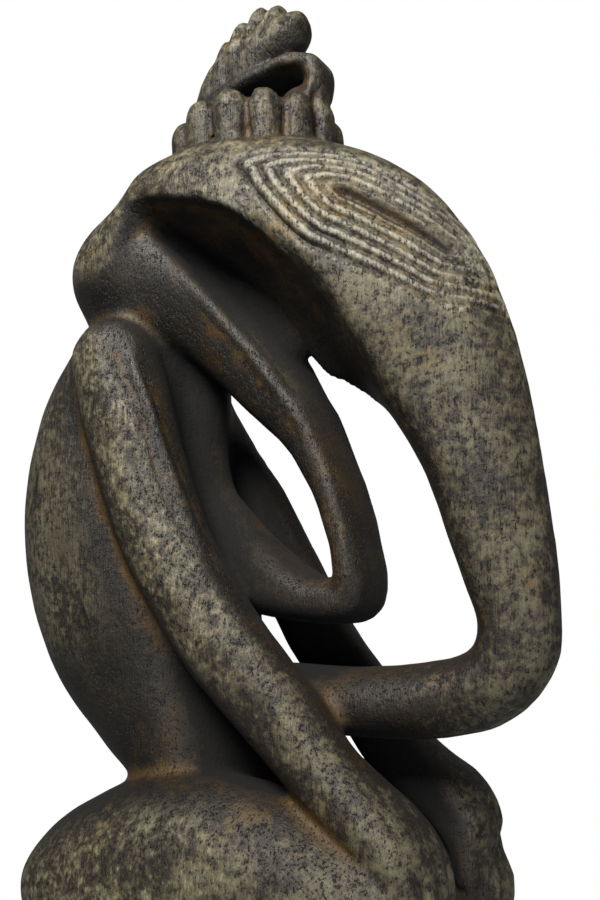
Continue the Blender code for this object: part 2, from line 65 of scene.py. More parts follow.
def linear(hex_colour: str) -> tuple[float, float, float, float]:
    """Turns an sRGB hex colour to the linear colour that shaders and lights take.

    Args:
        hex_colour: Six hex digits, such as "5a5142".

    Returns:
        Red, green, blue and an alpha of one.
    """
    channels = [int(hex_colour[i : i + 2], 16) / 255 for i in (0, 2, 4)]
    lit = [c / 12.92 if c <= 0.04045 else ((c + 0.055) / 1.055) ** 2.4 for c in channels]
    return (*lit, 1.0)


def add_node(
    tree: bpy.types.NodeTree,
    kind: str,
    links: dict[str | int, bpy.types.NodeSocket] | None = None,
    values: dict[str | int, object] | None = None,
    **settings: object,
) -> bpy.types.Node:
    """Adds a shader node with its settings, constant inputs and incoming links.

    Args:
        tree: The node tree that gets the node.
        kind: The node's type name.
        links: Input name or number to the output that feeds it.
        values: Input name or number to its constant.
        **settings: Attributes of the node itself.

    Returns:
        The new node.
    """
    node = tree.nodes.new(kind)
    for name, value in settings.items():
        setattr(node, name, value)
    for name, value in (values or {}).items():
        node.inputs[name].default_value = value
    for name, socket in (links or {}).items():
        tree.links.new(socket, node.inputs[name])
    return node


Sources = dict[str, bpy.types.NodeSocket]


def triangles(piece: bpy.types.Object) -> int:
    """Counts the triangles that a piece's faces come to."""
    return sum(len(face.vertices) - 2 for face in piece.data.polygons)


def only(piece: bpy.types.Object) -> None:
    """Selects one piece alone and makes it active."""
    bpy.ops.object.select_all(action="DESELECT")
    piece.select_set(True)
    bpy.context.view_layer.objects.active = piece


def apply_modifier(piece: bpy.types.Object, kind: str, **settings: object) -> None:
    """Adds one modifier to a piece and applies it.

    Args:
        piece: The piece that it changes.
        kind: The modifier's type.
        **settings: Attributes of the modifier.
    """
    only(piece)
    modifier = piece.modifiers.new(kind.lower(), kind)
    for name, value in settings.items():
        setattr(modifier, name, value)
    bpy.ops.object.modifier_apply(modifier=modifier.name)


class Surface:
    """A piece's mesh as arrays, for the cuts that a chisel makes."""

    def __init__(self, piece: bpy.types.Object) -> None:
        """Reads the mesh of a piece."""
        self.mesh = piece.data
        self.points = self._read(self.mesh.vertices, "co", 3, float)
        self.edges = self._read(self.mesh.edges, "vertices", 2, np.int32)
        self.count = len(self.points)
        self.degree = np.maximum(np.bincount(self.edges.ravel(), minlength=self.count), 1)

    @staticmethod
    def _read(rows: object, name: str, width: int, kind: type) -> np.ndarray:
        """Reads one attribute of all rows of a mesh as an array."""
        values = np.empty(len(rows) * width, kind)
        rows.foreach_get(name, values)
        return values.reshape(-1, width)

    def normals(self) -> np.ndarray:
        """Returns the outward normal at each point."""
        return self._read(self.mesh.vertices, "normal", 3, float)

    def write(self) -> None:
        """Puts the points back into the mesh."""
        self.mesh.vertices.foreach_set("co", self.points.ravel())
        self.mesh.update()

    def step(self, values: np.ndarray) -> np.ndarray:
        """Returns each point's mean of its neighbours' values."""
        a, b = self.edges.T
        total = np.empty_like(values)
        for i in range(values.shape[1]):
            column = values[:, i]
            total[:, i] = np.bincount(a, column[b], self.count) + np.bincount(b, column[a], self.count)
        return total / self.degree[:, None]

    def blur(self, values: np.ndarray, turns: int, share: np.ndarray | float = 1.0) -> np.ndarray:
        """Spreads values over the surface.

        Args:
            values: One row for each point.
            turns: How many times each point moves half way to its neighbours' mean.
            share: How freely each point takes part, from 0 to 1.

        Returns:
            The spread values.
        """
        values = values.copy()
        for _ in range(turns):
            values += 0.5 * share * (self.step(values) - values)
        return values

    def soften(self, turns: int, share: np.ndarray) -> None:
        """Works facets away and keeps the volume, by giving back the broad part of what was taken."""
        smooth = self.blur(self.points, turns, share)
        self.points = smooth + self.blur(self.points - smooth, turns, share)
        self.write()

    def push(self, depth: np.ndarray) -> None:
        """Cuts each point in along its normal by a depth in metres."""
        self.points -= self.normals() * depth[:, None]
        self.write()

    def nearness(self, line: np.ndarray, half: float, taper: float = 0.12) -> np.ndarray:
        """Says how close each point is to a line.

        Args:
            line: The line's points in order.
            half: How far from the line the nearness falls to nothing, in metres.
            taper: The share of the line's length over which each end fades out.

        Returns:
            One on the line, falling evenly to nothing at `half` and beyond.
        """
        low = line.min(0) - half
        high = line.max(0) + half
        near = np.flatnonzero(((self.points > low) & (self.points < high)).all(1))
        spots = self.points[near]
        gap = np.full(len(near), np.inf)
        place = np.zeros(len(near))
        for i, (a, b) in enumerate(zip(line, line[1:])):
            run = b - a
            t = np.clip((spots - a) @ run / (run @ run), 0, 1)
            here = np.linalg.norm(spots - a - t[:, None] * run, axis=1)
            closer = here < gap
            gap[closer] = here[closer]
            place[closer] = (i + t[closer]) / (len(line) - 1)
        fade = np.clip(np.minimum(place, 1 - place) / taper, 0, 1)
        result = np.zeros(self.count)
        result[near] = np.clip(1 - gap / half, 0, 1) * fade
        return result


def smooth_line(corners: tuple, mirror: int = 1, steps: int = 6) -> np.ndarray:
    """Runs a smooth line through a few places.

    Args:
        corners: The places, in metres.
        mirror: The sign that turns the line to the figure's other side.
        steps: The points laid from one place to the next.

    Returns:
        The line's points in order.
    """
    ends = np.array(corners) * (mirror, 1, 1)
    ends = np.vstack((2 * ends[0] - ends[1], ends, 2 * ends[-1] - ends[-2]))
    line = []
    for a, b, c, d in zip(ends, ends[1:], ends[2:], ends[3:]):
        turn = 2 * a - 5 * b + 4 * c - d
        twist = 3 * b - a - 3 * c + d
        for t in np.arange(steps) / steps:
            line.append(0.5 * (2 * b + (c - a) * t + turn * t**2 + twist * t**3))
    return np.array([*line, ends[-2]])


@dataclass(frozen=True)
class PatinatedHardwood:
    """Old, dense hardwood, cut with an adze and scraped upright, under a dry crust that handling wore.

    The wood is near black. The crust is a dull grey olive that breaks up into upright marks, worn ridges
    are a lighter grey for real wear and for a painted sheen, ochre and rust-brown earth cling beside the
    creases, painted shade darkens the sheltered hollows, creases and undersides, the finish is darker
    towards the back, and the deepest hollows are painted black as shadow. Real pores are about 0.3 mm
    wide, too fine to show from here, so they are drawn coarser.

    Attributes:
        heart: The bare wood, as sRGB hex. So are the colours of the layers that follow.
        cloud_mm: How broad the crust's patches are.
        ochre_mm: How broad the ochre and earth patches are.
        fleck_mm: How broad the flakes are that the patches break up into.
        pore_mm: How far apart the pores and pits are drawn.
        mark_mm: How far apart the scrape marks run.
        mark_stretch: How many times longer than wide a scrape mark is.
        relief_mm: The height of the crust's relief.
        dry_rough: Roughness of the dry crust.
        worn_rough: Roughness of a ridge that hands have worn.
        deep_rough: What the deepest hollows add to the roughness.
        specular: Specular level, under a half because the crust is dry and dusty.
        relief_strength: How much of the relief's height the light shows.
    """

    name: str = "patinated_hardwood_adzed_and_scraped"
    heart: str = "17130e"
    crust: str = "4b4737"
    dust: str = "7c7862"
    ochre: str = "5f4f2b"
    # Worn grey: real wear, lighter to paint a sheen.
    worn_and_painted_sheen: str = "77756b"
    earth: str = "34260f"
    shade: str = "0e0c0a"
    # Near black, for the dark pits and for the painted black shadow in the deepest hollows.
    dirt_and_painted_shade: str = "030303"
    cloud_mm: float = 46.0
    ochre_mm: float = 60.0
    fleck_mm: float = 7.0
    pore_mm: float = 2.4
    mark_mm: float = 1.7
    mark_stretch: float = 8.0
    relief_mm: float = 1.6
    dry_rough: float = 0.46
    worn_rough: float = 0.30
    deep_rough: float = 0.45
    specular: float = 0.27
    relief_strength: float = 0.8

    def material(self) -> bpy.types.Material:
        """Builds the layered finish.

        Returns:
            The material, which reads Object coordinates and the attributes that the carving leaves.
        """
        material = bpy.data.materials.new(self.name)
        material.use_nodes = True
        tree = material.node_tree
        shader = tree.nodes["Principled BSDF"]
        sources = self.patterns(tree)
        sources.update(self.spread(tree, sources))
        tree.links.new(self.colour(tree, sources), shader.inputs["Base Color"])
        tree.links.new(self.roughness(tree, sources), shader.inputs["Roughness"])
        tree.links.new(self.relief(tree, sources), shader.inputs["Normal"])
        shader.inputs["Specular IOR Level"].default_value = self.specular
        return material

    def patterns(self, tree: bpy.types.NodeTree) -> Sources:
        """Adds what the layers follow: the carving's attributes, the place and the grains.

        Args:
            tree: The material's node tree.

        Returns:
            The output of each pattern, by its name.
        """
        place = add_node(tree, "ShaderNodeTexCoord").outputs["Object"]
        squeeze = {"Scale": (1.0, 1.0, 1 / self.mark_stretch)}
        upright = add_node(tree, "ShaderNodeMapping", {"Vector": place}, squeeze).outputs["Vector"]
        sources = {}
        for name in ("hollow", "under", "ridge", "crease"):
            attribute = add_node(tree, "ShaderNodeAttribute", attribute_name=name)
            sources[name] = attribute.outputs["Fac"]
        sources["rear"] = add_node(tree, "ShaderNodeSeparateXYZ", {"Vector": place}).outputs["Y"]
        # Each grain: its coordinates, its size in millimetres, and the noise's detail and roughness.
        grains = {
            "clouds": (place, self.cloud_mm, 9.0, 0.68),
            "ochres": (place, self.ochre_mm, 9.0, 0.72),
            "flecks": (place, self.fleck_mm, 7.0, 0.66),
            "pores": (place, self.pore_mm, 3.0, 0.60),
            "marks": (upright, self.mark_mm, 5.0, 0.66),
        }
        for name, (coords, size, detail, rough) in grains.items():
            values = {"Scale": 1 / (size * MM), "Detail": detail, "Roughness": rough}
            grain = add_node(tree, "ShaderNodeTexNoise", {"Vector": coords}, values)
            sources[name] = grain.outputs["Fac"]
        return sources

    def spread(self, tree: bpy.types.NodeTree, sources: Sources) -> Sources:
        """Adds how much of each layer lies at a place.

        Args:
            tree: The material's node tree.
            sources: The output of each pattern.

        Returns:
            The output of each layer's share, by the layer's name.
        """
        # Each layer: the weights of the patterns it follows, and where their sum starts and fills it.
        shares = {
            # The negative hollow weights keep the pale crust, dust and worn grey out of sheltered places,
            # which paints shade there.
            "crust": ({"clouds": 1.4, "flecks": 1.3, "marks": 0.5, "hollow": -0.8}, 1.36, 1.88),
            "ochre": ({"ochres": 1.4, "flecks": 0.6, "crease": 0.20, "ridge": 0.15}, 1.08, 1.50),
            "dust": (
                {"clouds": 0.9, "flecks": 1.3, "marks": 0.7, "hollow": -0.8, "rear": 0.8},
                1.49,
                2.04,
            ),
            # Worn grey on ridges and edges: real wear, lightened to paint a sheen.
            "worn_and_painted_sheen": ({"ridge": 0.5, "flecks": 0.6, "marks": 0.8, "hollow": -0.6}, 0.86, 1.36),
            "earth": ({"ochres": 1.2, "crease": 0.4, "hollow": 0.9, "flecks": 0.6}, 1.10, 1.60),
            # Painted shade in sheltered hollows, creases and undersides, also darker towards the back and
            # mottled by the clouds and flecks.
            "dirt_and_painted_shade": (
                {"hollow": 2.6, "under": 0.15, "crease": 1.20, "clouds": 0.9, "flecks": 0.4, "rear": 2.6},
                0.92,
                1.60,
            ),
            "pit": ({"pores": -1.0, "flecks": -0.7, "marks": -0.6}, -1.07, -0.93),
            # Painted shadow: near black in the most sheltered hollows, such as inside the mouth.
            "painted_deep_shadow": ({"hollow": 1.0, "flecks": 0.3}, 0.46, 0.70),
        }
        # Multiply Add takes the pattern, its weight and the sum so far as inputs 0, 1 and 2.
        found = {}
        for name, (mix, low, high) in shares.items():
            total = None
            for source, weight in mix.items():
                links = {0: sources[source]}
                if total is not None:
                    links[2] = total
                values = {1: weight, 2: 0.0}
                total = add_node(tree, "ShaderNodeMath", links, values, operation="MULTIPLY_ADD").outputs[0]
            step = add_node(
                tree,
                "ShaderNodeMapRange",
                {"Value": total},
                {"From Min": low, "From Max": high},
                interpolation_type="SMOOTHSTEP",
            )
            found[name] = step.outputs["Result"]
        return found

    def colour(self, tree: bpy.types.NodeTree, sources: Sources) -> bpy.types.NodeSocket:
        """Lays the layers over the bare wood, from the oldest to the last, with painted shade and painted
        black shadow among them.

        Args:
            tree: The material's node tree.
            sources: The output of each pattern and of each layer's share.

        Returns:
            The colour's output.
        """
        layers = {
            "crust": self.crust,
            "ochre": self.ochre,
            "dust": self.dust,
            # Worn grey: real wear, lightened to paint a sheen on the ridges.
            "worn_and_painted_sheen": self.worn_and_painted_sheen,
            # Painted shade, in the near-black shade colour.
            "dirt_and_painted_shade": self.shade,
            "earth": self.earth,
            "pit": self.dirt_and_painted_shade,
            # Painted black shadow in the deepest hollows.
            "painted_deep_shadow": self.dirt_and_painted_shade,
        }
        # A colour Mix takes its factor as input 0 and its colours as 6 and 7, and output 2 is a colour.
        colour = None
        for name, tint in layers.items():
            links = {0: sources[name]}
            if colour is not None:
                links[6] = colour
            values = {6: linear(self.heart), 7: linear(tint)}
            colour = add_node(tree, "ShaderNodeMix", links, values, data_type="RGBA").outputs[2]
        return colour

    def roughness(self, tree: bpy.types.NodeTree, sources: Sources) -> bpy.types.NodeSocket:
        """Adds the roughness: a soft sheen where it is worn, and none in the deepest hollows.

        Args:
            tree: The material's node tree.
            sources: The output of each pattern and of each layer's share.

        Returns:
            The roughness's output.
        """
        gloss = {"From Min": 0.0, "From Max": 1.0, "To Min": self.dry_rough, "To Max": self.worn_rough}
        polish = add_node(tree, "ShaderNodeMapRange", {"Value": sources["worn_and_painted_sheen"]}, gloss)
        links = {0: sources["painted_deep_shadow"], 2: polish.outputs["Result"]}
        values = {1: self.deep_rough}
        return add_node(tree, "ShaderNodeMath", links, values, operation="MULTIPLY_ADD").outputs[0]

    def relief(self, tree: bpy.types.NodeTree, sources: Sources) -> bpy.types.NodeSocket:
        """Adds the relief of scrape marks, flakes and pits, which are finer than the mesh.

        Args:
            tree: The material's node tree.
            sources: The output of each pattern and of each layer's share.

        Returns:
            The output of the bumped normal.
        """
        height = None
        for source, weight in (("marks", 0.55), ("flecks", 0.8), ("pit", -0.35)):
            links = {0: sources[source]}
            if height is not None:
                links[2] = height
            values = {1: weight, 2: 0.0}
            height = add_node(tree, "ShaderNodeMath", links, values, operation="MULTIPLY_ADD").outputs[0]
        depth = {"Strength": self.relief_strength, "Distance": self.relief_mm * MM}
        return add_node(tree, "ShaderNodeBump", {"Height": height}, depth).outputs["Normal"]


@dataclass(frozen=True)
class Stroke:
    """One cut or one raised edge of the fine carving.

    Attributes:
        places: Where it runs on the figure's left side, in metres.
        half: Half its width, in metres.
        depth: Its depth in metres, less than nothing for a raised edge.
        sides: The sides of the figure that have it.
    """

    places: tuple[tuple[float, float, float], ...]
    half: float
    depth: float
    sides: tuple[Side, ...] = (Side.RIGHT, Side.LEFT)


# Where the carving's lines run on the figure's left side, in metres.
HOOD_RIM = (
    (0.0945, 0.0850, 0.8520),
    (0.0930, 0.0553, 0.8520),
    (0.0930, 0.0298, 0.8460),
    (0.0930, -0.0021, 0.8355),
    (0.0895, -0.0260, 0.8225),
    (0.0830, -0.0422, 0.8082),
    (0.0765, -0.0581, 0.7908),
    (0.0710, -0.0755, 0.7706),
)
JAW_CREST = (
    (0.0872, 0.0856, 0.8417),
    (0.0732, 0.0783, 0.8240),
    (0.0670, 0.0593, 0.8026),
    (0.0603, 0.0399, 0.7779),
    (0.0527, 0.0183, 0.7499),
    (0.0463, -0.0050, 0.7218),
    (0.0414, -0.0287, 0.6902),
    (0.0379, -0.0487, 0.6613),
    (0.0355, -0.0640, 0.6390),
)
JAW_VALLEY = (
    (0.0823, 0.0736, 0.8443),
    (0.0623, 0.0715, 0.8327),
    (0.0474, 0.0596, 0.8164),
    (0.0450, 0.0364, 0.7891),
    (0.0424, 0.0107, 0.7594),
    (0.0391, -0.0147, 0.7298),
    (0.0334, -0.0377, 0.6985),
    (0.0285, -0.0528, 0.6753),
)
COMB_FLUTES = (
    ((0.0162, 0.0066, 1.0274), (0.0201, 0.0127, 1.0175), (0.0160, 0.0245, 1.0140)),
    ((0.0157, -0.0104, 1.0296), (0.0203, -0.0060, 1.0170), (0.0194, 0.0022, 1.0079)),
    ((0.0186, -0.0282, 1.0161), (0.0205, -0.0252, 1.0126), (0.0185, -0.0187, 1.0126)),
    ((0.0108, 0.0249, 1.0308), (0.0150, 0.0270, 1.0240), (0.0177, 0.0278, 1.0178)),
)
FAR_HAND_LINES = (
    ((0.0720, -0.1841, 0.3340), (0.0500, -0.1850, 0.3200), (0.0300, -0.1855, 0.3060)),
    ((0.0900, -0.1847, 0.3260), (0.0740, -0.1868, 0.3130), (0.0600, -0.1881, 0.2990)),
)
ARM_VALLEY = (
    (0.1083, 0.0937, 0.7251),
    (0.1060, 0.0807, 0.7005),
    (0.1038, 0.0689, 0.6720),
    (0.1003, 0.0574, 0.6365),
    (0.0996, 0.0447, 0.6001),
    (0.0976, 0.0289, 0.5675),
    (0.0952, 0.0096, 0.5347),
)
ARM_ROLL = (
    (0.1037, 0.0864, 0.7225),
    (0.0998, 0.0715, 0.6954),
    (0.0930, 0.0594, 0.6593),
    (0.0873, 0.0465, 0.6204),
    (0.0827, 0.0305, 0.5814),
    (0.0801, 0.0089, 0.5419),
)
# The knobs stand in an oval ring round the crest's foot, with a crease between each two.
KNOBS = 14
KNOB_RING_MIDDLE = 0.017
KNOB_RING_ACROSS = 0.0655
KNOB_RING_ALONG = 0.0735
KNOB_CREASE_HEIGHTS = (0.884, 0.905, 0.925, 0.950)
KNOB_CREASES = tuple(
    tuple(
        (KNOB_RING_ACROSS * math.sin(turn), KNOB_RING_MIDDLE - KNOB_RING_ALONG * math.cos(turn), height)
        for height in KNOB_CREASE_HEIGHTS
    )
    for turn in (math.tau * (k + 0.5) / KNOBS for k in range(KNOBS // 2))
)
# What is cut along each line, or raised where the depth is less than nothing.
STROKES = (
    Stroke(ARM_VALLEY, 11 * MM, 4.0 * MM),
    Stroke(ARM_ROLL, 9 * MM, -2.4 * MM),
    *(Stroke(crease, 7 * MM, 5.5 * MM) for crease in KNOB_CREASES),
    Stroke(HOOD_RIM, 10 * MM, -2.6 * MM),
    Stroke(JAW_CREST, 9 * MM, -2.4 * MM),
    Stroke(JAW_VALLEY, 14 * MM, 5.0 * MM),
    *(Stroke(flute, 5 * MM, 3.6 * MM) for flute in COMB_FLUTES),
    *(Stroke(line, 4.5 * MM, 3.2 * MM, (Side.LEFT,)) for line in FAR_HAND_LINES),
)


@dataclass(frozen=True)
class WearAndPaintedLight:
    """How far a place stands out or lies back, in millimetres, where hands and dirt mark it and where shade
    and sheen are painted.

    Attributes:
        near_places: The measured places that shelter at a point is taken from.
        hollow_turns: Turns of blur over the shelter, which the painted shade follows.
        under_turns: Turns of blur over how far a place faces down, which the painted shade also follows.
        broad_turns: Turns of blur that give the broad form a place is compared with.
        close_turns: Turns of blur that give the close form an edge is compared with.
        ridge: Where a ridge starts to be worn and painted with sheen, and how much further it is worn
            fully.
        edge: The same for an edge, against the close form.
        crease: Where a crease starts to hold dirt and painted shade, and how much further it is full.
        line: The depth at which a fine line is full of dirt and painted shade.
    """

    near_places: int = 3
    hollow_turns: int = 4
    under_turns: int = 6
    broad_turns: int = 10
    close_turns: int = 3
    ridge: tuple[float, float] = (0.9, 1.6)
    edge: tuple[float, float] = (0.25, 0.6)
    crease: tuple[float, float] = (0.05, 0.8)
    line: float = 0.35


@dataclass
class CarvedFigure:
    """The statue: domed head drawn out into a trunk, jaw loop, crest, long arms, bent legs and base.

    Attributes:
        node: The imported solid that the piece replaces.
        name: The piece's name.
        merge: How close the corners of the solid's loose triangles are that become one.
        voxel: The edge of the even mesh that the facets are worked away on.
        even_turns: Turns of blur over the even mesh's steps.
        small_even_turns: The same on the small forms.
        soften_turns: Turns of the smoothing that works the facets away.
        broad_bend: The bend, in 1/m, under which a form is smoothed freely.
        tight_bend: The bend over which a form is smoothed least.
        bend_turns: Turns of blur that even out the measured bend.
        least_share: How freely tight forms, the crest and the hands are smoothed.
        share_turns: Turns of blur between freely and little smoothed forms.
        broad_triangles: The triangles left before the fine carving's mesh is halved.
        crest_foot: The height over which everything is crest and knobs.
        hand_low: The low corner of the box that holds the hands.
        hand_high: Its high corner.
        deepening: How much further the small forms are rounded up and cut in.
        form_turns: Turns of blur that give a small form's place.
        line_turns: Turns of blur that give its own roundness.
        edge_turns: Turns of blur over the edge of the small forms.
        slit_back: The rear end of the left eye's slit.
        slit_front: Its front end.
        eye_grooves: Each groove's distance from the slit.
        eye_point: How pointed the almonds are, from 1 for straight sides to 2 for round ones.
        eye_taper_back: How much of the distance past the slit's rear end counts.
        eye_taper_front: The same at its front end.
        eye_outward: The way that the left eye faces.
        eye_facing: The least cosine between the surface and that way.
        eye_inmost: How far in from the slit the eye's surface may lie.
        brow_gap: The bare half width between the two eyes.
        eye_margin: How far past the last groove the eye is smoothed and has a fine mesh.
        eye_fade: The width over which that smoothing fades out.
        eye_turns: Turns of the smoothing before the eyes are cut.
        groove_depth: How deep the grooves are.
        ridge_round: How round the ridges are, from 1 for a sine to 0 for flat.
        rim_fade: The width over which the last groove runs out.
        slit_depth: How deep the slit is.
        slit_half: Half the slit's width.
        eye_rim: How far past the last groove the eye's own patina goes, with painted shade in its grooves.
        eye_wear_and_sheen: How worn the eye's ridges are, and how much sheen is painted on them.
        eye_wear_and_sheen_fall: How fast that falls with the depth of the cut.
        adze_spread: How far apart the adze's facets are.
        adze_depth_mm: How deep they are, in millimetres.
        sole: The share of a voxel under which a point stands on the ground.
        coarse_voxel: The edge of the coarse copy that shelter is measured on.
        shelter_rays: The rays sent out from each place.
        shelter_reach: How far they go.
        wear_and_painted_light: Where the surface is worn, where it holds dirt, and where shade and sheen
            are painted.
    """

    node: str = "ancestor_figure"
    name: str = "carved_figure"
    merge: float = 0.01 * MM
    voxel: float = 3.4 * MM
    even_turns: int = 3
    small_even_turns: int = 1
    soften_turns: int = 50
    broad_bend: float = 1 / 0.060
    tight_bend: float = 1 / 0.024
    bend_turns: int = 12
    least_share: float = 0.03
    share_turns: int = 2
    broad_triangles: int = 112_000
    crest_foot: float = 0.895
    hand_low: tuple[float, float, float] = (-0.150, -0.240, 0.225)
    hand_high: tuple[float, float, float] = (0.150, -0.135, 0.335)
    deepening: float = 0.5
    form_turns: int = 12
    line_turns: int = 3
    edge_turns: int = 6
    slit_back: tuple[float, float, float] = (0.0676, -0.1133, 0.8226)
    slit_front: tuple[float, float, float] = (0.0343, -0.1863, 0.7734)
    eye_grooves: tuple[float, ...] = (0.0105, 0.0190, 0.0270, 0.0350, 0.0430)
    eye_point: float = 1.35
    eye_taper_back: float = 0.45
    eye_taper_front: float = 0.62
    eye_outward: tuple[float, float, float] = (0.75, -0.35, 0.55)
    eye_facing: float = 0.2
    eye_inmost: float = 0.07
    brow_gap: float = 0.003
    eye_margin: float = 0.010
    eye_fade: float = 0.006
    eye_turns: int = 8
    groove_depth: float = 4.2 * MM
    ridge_round: float = 0.5
    rim_fade: float = 0.005
    slit_depth: float = 7.0 * MM
    slit_half: float = 4.6 * MM
    eye_rim: float = 0.003
    eye_wear_and_sheen: float = 0.85
    eye_wear_and_sheen_fall: float = 2.0
    adze_spread: float = 28 * MM
    adze_depth_mm: float = 0.6
    sole: float = 0.4
    coarse_voxel: float = 8.0 * MM
    shelter_rays: int = 22
    shelter_reach: float = 0.20
    wear_and_painted_light: WearAndPaintedLight = WearAndPaintedLight()

    def build(self) -> bpy.types.Object:
        """Cuts the fine piece from the block and dresses it.

        Returns:
            The finished piece, which rides on the statue's one body.
        """
        piece = self.block()
        surface = Surface(piece)
        self.work_facets_away(surface)
        apply_modifier(piece, "DECIMATE", ratio=self.broad_triangles / triangles(piece))
        self.refine(piece, with_small_forms=True)
        self.refine(piece, with_small_forms=False)
        surface = Surface(piece)
        self.deepen(surface)
        cuts = self.cut_eyes(surface)
        self.cut_strokes(surface)
        self.weather(surface)
        self.stand_flat(surface)
        self.mark_patina_and_painted_light(piece, cuts)
        only(piece)
        bpy.ops.object.shade_smooth()
        return piece

    def block(self) -> bpy.types.Object:
        """Copies the solid, joins its loose triangles and gives it an even fine mesh.

        Returns:
            The copy, at the place of the solid.
        """
        piece = bpy.data.objects.new(self.name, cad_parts[self.node].data.copy())
        bpy.context.scene.collection.objects.link(piece)
        only(piece)
        bpy.ops.object.mode_set(mode="EDIT")
        bpy.ops.mesh.select_all(action="SELECT")
        bpy.ops.mesh.remove_doubles(threshold=self.merge)
        bpy.ops.object.mode_set(mode="OBJECT")
        piece.data.materials.clear()
        apply_modifier(piece, "REMESH", mode="VOXEL", voxel_size=self.voxel, adaptivity=0.0)
        return piece

    def work_facets_away(self, surface: Surface) -> None:
        """Smooths broad forms freely and tight ones, such as fingers and the crest, a little."""
        evened = surface.blur(surface.points, self.even_turns)
        small = surface.blur(surface.points, self.small_even_turns)
        surface.points = np.where(self.small_forms(surface)[:, None], small, evened)
        # The step to the neighbours' mean is about a quarter of the bend times the edge squared.
        curl = np.linalg.norm(surface.step(surface.points) - surface.points, axis=1)
        bend = surface.blur(curl[:, None] * 4 / self.voxel**2, self.bend_turns)[:, 0]
        share = (self.tight_bend - bend) / (self.tight_bend - self.broad_bend)
        share = np.clip(share, self.least_share, 1)
        share = np.where(self.small_forms(surface), self.least_share, share)
        share = surface.blur(share[:, None], self.share_turns)[:, 0]
        share = np.maximum(share, self.eye_zone(surface))
        surface.soften(self.soften_turns, share[:, None])

    def small_forms(self, surface: Surface) -> np.ndarray:
        """Says which points belong to the crest with its knobs, or to the hands."""
        hands = ((surface.points > self.hand_low) & (surface.points < self.hand_high)).all(1)
        return hands | (surface.points[:, 2] > self.crest_foot)

    def refine(self, piece: bpy.types.Object, with_small_forms: bool) -> None:
        """Halves the mesh where the carving is fine.

        Args:
            piece: The figure.
            with_small_forms: Whether the crest and the hands are halved too, besides the eyes.
        """
        surface = Surface(piece)
        fine = self.eye_rings(surface) < self.eye_grooves[-1] + self.eye_margin
        if with_small_forms:
            fine |= self.small_forms(surface)
        only(piece)
        bpy.ops.object.mode_set(mode="EDIT")
        bpy.ops.mesh.select_mode(type="VERT")
        bpy.ops.mesh.select_all(action="DESELECT")
        bpy.ops.object.mode_set(mode="OBJECT")
        piece.data.vertices.foreach_set("select", fine)
        bpy.ops.object.mode_set(mode="EDIT")
        bpy.ops.mesh.select_mode(type="FACE")
        bpy.ops.mesh.subdivide(number_cuts=1)
        bpy.ops.mesh.select_all(action="SELECT")
        bpy.ops.mesh.quads_convert_to_tris()
        bpy.ops.object.mode_set(mode="OBJECT")
        LOG.info("refined to %d points", len(piece.data.vertices))

    def deepen(self, surface: Surface) -> None:
        """Rounds the knobs, lobes and fingers up and cuts their creases deeper."""
        share = surface.blur(self.small_forms(surface)[:, None].astype(float), self.edge_turns)
        broad = surface.blur(surface.points, self.form_turns)
        mean = surface.blur(surface.points, self.line_turns)
        surface.points = (
            surface.points
            + share * (mean - surface.points)
            + share * self.deepening * (mean - broad)
        )
        surface.write()

    def eye_ring(self, surface: Surface, side: Side) -> np.ndarray:
        """Measures how far each point lies from one eye's slit.

        Args:
            surface: The figure's surface.
            side: The side of the figure.

        Returns:
            The ring that each point is on, in metres from the slit and drawn out towards its ends, so
            that the rings are nested almonds. Points on other parts of the figure are FAR.
        """
        back = np.array(self.slit_back) * (side.value, 1, 1)
        front = np.array(self.slit_front) * (side.value, 1, 1)
        half = np.linalg.norm(front - back) / 2
        along = (front - back) / (2 * half)
        outward = np.array(self.eye_outward) * (side.value, 1, 1)
        outward -= along * outward.dot(along)
        outward /= np.linalg.norm(outward)
        across = np.cross(along, outward)
        from_middle = surface.points - (back + front) / 2
        s = from_middle @ along
        t = from_middle @ across
        past_front = np.maximum(s - half, 0) * self.eye_taper_front
        past_back = np.maximum(-s - half, 0) * self.eye_taper_back
        past = past_front + past_back
        ring = (np.abs(t) ** self.eye_point + past**self.eye_point) ** (1 / self.eye_point)
        near = surface.normals() @ outward > self.eye_facing
        near &= from_middle @ outward > -self.eye_inmost
        near &= surface.points[:, 0] * side.value > self.brow_gap
        return np.where(near, ring, FAR)

    def eye_rings(self, surface: Surface) -> np.ndarray:
        """Measures how far each point lies from the slit of the eye on its own side."""
        return np.minimum(self.eye_ring(surface, Side.RIGHT), self.eye_ring(surface, Side.LEFT))

    def eye_zone(self, surface: Surface) -> np.ndarray:
        """Says how fully each point belongs to an eye, from 0 to 1."""
        inside = self.eye_grooves[-1] + self.eye_margin - self.eye_rings(surface)
        return np.clip(inside / self.eye_fade, 0, 1)

    def cut_eyes(self, surface: Surface) -> np.ndarray:
        """Cuts both eyes: a deep slit in nested almond grooves, with rounded ridges between them.

        Args:
            surface: The figure's surface.

        Returns:
            How deep each point was cut, as a share of a groove's depth.
        """
        zone = self.eye_zone(surface)
        surface.points = surface.blur(surface.points, self.eye_turns, zone[:, None])
        surface.write()
        ring = self.eye_rings(surface)
        edges = np.array((0.0, *self.eye_grooves))
        band = np.clip(np.searchsorted(edges, ring, side="right") - 1, 0, len(edges) - 2)
        step = np.clip((ring - edges[band]) / (edges[band + 1] - edges[band]), 0, 1)
        cut = self.groove_depth * (1 - np.sin(math.pi * step) ** self.ridge_round)
        past = np.clip((ring - edges[-1]) / self.rim_fade, 0, 1)
        cut = np.where(ring > edges[-1], self.groove_depth * (1 - past) ** 2, cut)
        slit = self.slit_depth * np.exp(-((ring / self.slit_half) ** 2))
        depth = np.maximum(np.where(ring < FAR, cut, 0), slit)
        surface.push(depth)
        return np.clip(depth / self.groove_depth, 0, 1)

